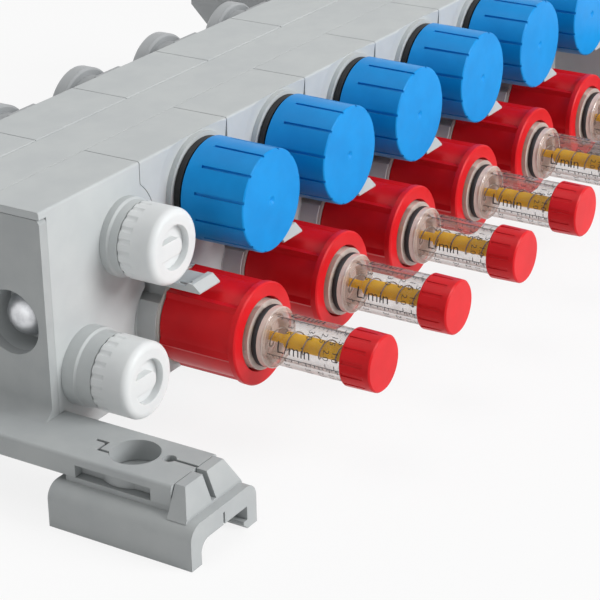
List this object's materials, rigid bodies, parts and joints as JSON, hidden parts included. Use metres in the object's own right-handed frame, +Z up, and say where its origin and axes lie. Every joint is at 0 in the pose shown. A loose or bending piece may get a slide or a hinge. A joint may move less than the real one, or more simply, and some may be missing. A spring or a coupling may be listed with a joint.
{
  "type": "underfloor heating manifold",
  "caption": "Modular plastic supply and return manifold with blue hand caps, red flow meters with clear sight tubes, white drain caps and wall brackets on clip feet.",
  "frame": {"origin": "middle of the base, under the feet", "axes": "+X along the row of loops away from the drain valves, -Y towards the hand caps, +Z up"},
  "size_m": [0.4098, 0.281, 0.0922],
  "materials": {
    "grey_plastic": "fine moulded matt",
    "dark_plastic": "fine moulded matt",
    "blue_plastic": "satin moulded",
    "red_plastic": "satin moulded",
    "yellow_plastic": "satin moulded",
    "white_plastic": "satin moulded",
    "black_rubber": "matt",
    "clear_plastic": "clear polished",
    "brass": "turned",
    "bright_steel": "bright zinc"
  },
  "bodies": {
    "manifold": {"near_end_block": "grey_plastic", "far_end_block": "grey_plastic", "cover_strip": "grey_plastic", "near_bracket": "grey_plastic", "far_bracket": "dark_plastic", "near_front_foot": "grey_plastic", "near_rear_foot": "grey_plastic", "far_front_foot": "grey_plastic", "far_rear_foot": "grey_plastic", "tie_rods": "bright_steel", "tie_rod_nuts": "bright_steel", "joint_clips": "grey_plastic", "chamber_seals": "black_rubber", "cap_rings": "black_rubber", "valve_inserts": "brass", "valve_springs": "bright_steel", "meter_bodies": "white_plastic", "sight_tubes": "clear_plastic", "tube_seals": "black_rubber", "indicator_springs": "bright_steel", "tube_end_caps": "red_plastic", "pipe_nuts": "dark_plastic", "pipe_clamp_rings": "white_plastic", "upper_drain_body": "white_plastic", "lower_drain_body": "white_plastic", "loop_module_1": "grey_plastic", "loop_module_2": "grey_plastic", "loop_module_3": "grey_plastic", "loop_module_4": "grey_plastic", "loop_module_5": "grey_plastic", "loop_module_6": "grey_plastic"},
    "valve_pin_1": {"valve_pin_1": "bright_steel"},
    "hand_cap_1": {"hand_cap_1": "blue_plastic"},
    "adjusting_sleeve_1": {"adjusting_sleeve_1": "red_plastic"},
    "flow_indicator_1": {"flow_indicator_1": "yellow_plastic"},
    "valve_pin_2": {"valve_pin_2": "bright_steel"},
    "hand_cap_2": {"hand_cap_2": "blue_plastic"},
    "adjusting_sleeve_2": {"adjusting_sleeve_2": "red_plastic"},
    "flow_indicator_2": {"flow_indicator_2": "yellow_plastic"},
    "valve_pin_3": {"valve_pin_3": "bright_steel"},
    "hand_cap_3": {"hand_cap_3": "blue_plastic"},
    "adjusting_sleeve_3": {"adjusting_sleeve_3": "red_plastic"},
    "flow_indicator_3": {"flow_indicator_3": "yellow_plastic"},
    "valve_pin_4": {"valve_pin_4": "bright_steel"},
    "hand_cap_4": {"hand_cap_4": "blue_plastic"},
    "adjusting_sleeve_4": {"adjusting_sleeve_4": "red_plastic"},
    "flow_indicator_4": {"flow_indicator_4": "yellow_plastic"},
    "valve_pin_5": {"valve_pin_5": "bright_steel"},
    "hand_cap_5": {"hand_cap_5": "blue_plastic"},
    "adjusting_sleeve_5": {"adjusting_sleeve_5": "red_plastic"},
    "flow_indicator_5": {"flow_indicator_5": "yellow_plastic"},
    "valve_pin_6": {"valve_pin_6": "bright_steel"},
    "hand_cap_6": {"hand_cap_6": "blue_plastic"},
    "adjusting_sleeve_6": {"adjusting_sleeve_6": "red_plastic"},
    "flow_indicator_6": {"flow_indicator_6": "yellow_plastic"},
    "upper_drain_cap": {"upper_drain_cap": "white_plastic"},
    "upper_drain_spindle": {"upper_drain_spindle": "brass"},
    "lower_drain_cap": {"lower_drain_cap": "white_plastic"},
    "lower_drain_spindle": {"lower_drain_spindle": "brass"}
  },
  "joints": [
    {"name": "valve_lift_1", "type": "slide", "parent": "manifold", "child": "valve_pin_1", "axis": [0, -1, 0], "range_m": [0, 0.003]},
    {"name": "hand_cap_turn_1", "type": "hinge", "parent": "valve_pin_1", "child": "hand_cap_1", "pos_m": [-0.098, -0.08547, 0.0732], "axis": [0, -1, 0], "range_deg": [0, 720]},
    {"name": "sleeve_turn_1", "type": "hinge", "parent": "manifold", "child": "adjusting_sleeve_1", "pos_m": [-0.12, -0.06552, 0.0362], "axis": [0, -1, 0], "range_deg": [0, 900]},
    {"name": "flow_reading_1", "type": "slide", "parent": "manifold", "child": "flow_indicator_1", "axis": [0, 1, 0], "range_m": [0, 0.02], "stiffness_N_per_m": 10, "springref_m": -0.004, "deforming": ["indicator_springs"]},
    {"name": "valve_lift_2", "type": "slide", "parent": "manifold", "child": "valve_pin_2", "axis": [0, -1, 0], "range_m": [0, 0.003]},
    {"name": "hand_cap_turn_2", "type": "hinge", "parent": "valve_pin_2", "child": "hand_cap_2", "pos_m": [-0.048, -0.08547, 0.0732], "axis": [0, -1, 0], "range_deg": [0, 720]},
    {"name": "sleeve_turn_2", "type": "hinge", "parent": "manifold", "child": "adjusting_sleeve_2", "pos_m": [-0.07, -0.06552, 0.0362], "axis": [0, -1, 0], "range_deg": [0, 900]},
    {"name": "flow_reading_2", "type": "slide", "parent": "manifold", "child": "flow_indicator_2", "axis": [0, 1, 0], "range_m": [0, 0.02], "stiffness_N_per_m": 10, "springref_m": -0.004, "deforming": ["indicator_springs"]},
    {"name": "valve_lift_3", "type": "slide", "parent": "manifold", "child": "valve_pin_3", "axis": [0, -1, 0], "range_m": [0, 0.003]},
    {"name": "hand_cap_turn_3", "type": "hinge", "parent": "valve_pin_3", "child": "hand_cap_3", "pos_m": [0.002, -0.08547, 0.0732], "axis": [0, -1, 0], "range_deg": [0, 720]},
    {"name": "sleeve_turn_3", "type": "hinge", "parent": "manifold", "child": "adjusting_sleeve_3", "pos_m": [-0.02, -0.06552, 0.0362], "axis": [0, -1, 0], "range_deg": [0, 900]},
    {"name": "flow_reading_3", "type": "slide", "parent": "manifold", "child": "flow_indicator_3", "axis": [0, 1, 0], "range_m": [0, 0.02], "stiffness_N_per_m": 10, "springref_m": -0.004, "deforming": ["indicator_springs"]},
    {"name": "valve_lift_4", "type": "slide", "parent": "manifold", "child": "valve_pin_4", "axis": [0, -1, 0], "range_m": [0, 0.003]},
    {"name": "hand_cap_turn_4", "type": "hinge", "parent": "valve_pin_4", "child": "hand_cap_4", "pos_m": [0.052, -0.08547, 0.0732], "axis": [0, -1, 0], "range_deg": [0, 720]},
    {"name": "sleeve_turn_4", "type": "hinge", "parent": "manifold", "child": "adjusting_sleeve_4", "pos_m": [0.03, -0.06552, 0.0362], "axis": [0, -1, 0], "range_deg": [0, 900]},
    {"name": "flow_reading_4", "type": "slide", "parent": "manifold", "child": "flow_indicator_4", "axis": [0, 1, 0], "range_m": [0, 0.02], "stiffness_N_per_m": 10, "springref_m": -0.004, "deforming": ["indicator_springs"]},
    {"name": "valve_lift_5", "type": "slide", "parent": "manifold", "child": "valve_pin_5", "axis": [0, -1, 0], "range_m": [0, 0.003]},
    {"name": "hand_cap_turn_5", "type": "hinge", "parent": "valve_pin_5", "child": "hand_cap_5", "pos_m": [0.102, -0.08547, 0.0732], "axis": [0, -1, 0], "range_deg": [0, 720]},
    {"name": "sleeve_turn_5", "type": "hinge", "parent": "manifold", "child": "adjusting_sleeve_5", "pos_m": [0.08, -0.06552, 0.0362], "axis": [0, -1, 0], "range_deg": [0, 900]},
    {"name": "flow_reading_5", "type": "slide", "parent": "manifold", "child": "flow_indicator_5", "axis": [0, 1, 0], "range_m": [0, 0.02], "stiffness_N_per_m": 10, "springref_m": -0.004, "deforming": ["indicator_springs"]},
    {"name": "valve_lift_6", "type": "slide", "parent": "manifold", "child": "valve_pin_6", "axis": [0, -1, 0], "range_m": [0, 0.003]},
    {"name": "hand_cap_turn_6", "type": "hinge", "parent": "valve_pin_6", "child": "hand_cap_6", "pos_m": [0.152, -0.08547, 0.0732], "axis": [0, -1, 0], "range_deg": [0, 720]},
    {"name": "sleeve_turn_6", "type": "hinge", "parent": "manifold", "child": "adjusting_sleeve_6", "pos_m": [0.13, -0.06552, 0.0362], "axis": [0, -1, 0], "range_deg": [0, 900]},
    {"name": "flow_reading_6", "type": "slide", "parent": "manifold", "child": "flow_indicator_6", "axis": [0, 1, 0], "range_m": [0, 0.02], "stiffness_N_per_m": 10, "springref_m": -0.004, "deforming": ["indicator_springs"]},
    {"name": "upper_drain_cap_turn", "type": "hinge", "parent": "manifold", "child": "upper_drain_cap", "pos_m": [-0.141, -0.08547, 0.0702], "axis": [0, -1, 0], "range_deg": [0, 360]},
    {"name": "upper_drain_spindle_turn", "type": "hinge", "parent": "manifold", "child": "upper_drain_spindle", "pos_m": [-0.141, -0.08547, 0.0702], "axis": [0, -1, 0], "range_deg": [0, 90]},
    {"name": "lower_drain_cap_turn", "type": "hinge", "parent": "manifold", "child": "lower_drain_cap", "pos_m": [-0.164, -0.08547, 0.0342], "axis": [0, -1, 0], "range_deg": [0, 360]},
    {"name": "lower_drain_spindle_turn", "type": "hinge", "parent": "manifold", "child": "lower_drain_spindle", "pos_m": [-0.164, -0.08547, 0.0342], "axis": [0, -1, 0], "range_deg": [0, 90]}
  ],
  "couplings": [
    {"joint": "hand_cap_turn_1", "follows": "valve_lift_1", "rad_per_m": 4188.8},
    {"joint": "hand_cap_turn_2", "follows": "valve_lift_2", "rad_per_m": 4188.8},
    {"joint": "hand_cap_turn_3", "follows": "valve_lift_3", "rad_per_m": 4188.8},
    {"joint": "hand_cap_turn_4", "follows": "valve_lift_4", "rad_per_m": 4188.8},
    {"joint": "hand_cap_turn_5", "follows": "valve_lift_5", "rad_per_m": 4188.8},
    {"joint": "hand_cap_turn_6", "follows": "valve_lift_6", "rad_per_m": 4188.8}
  ]
}
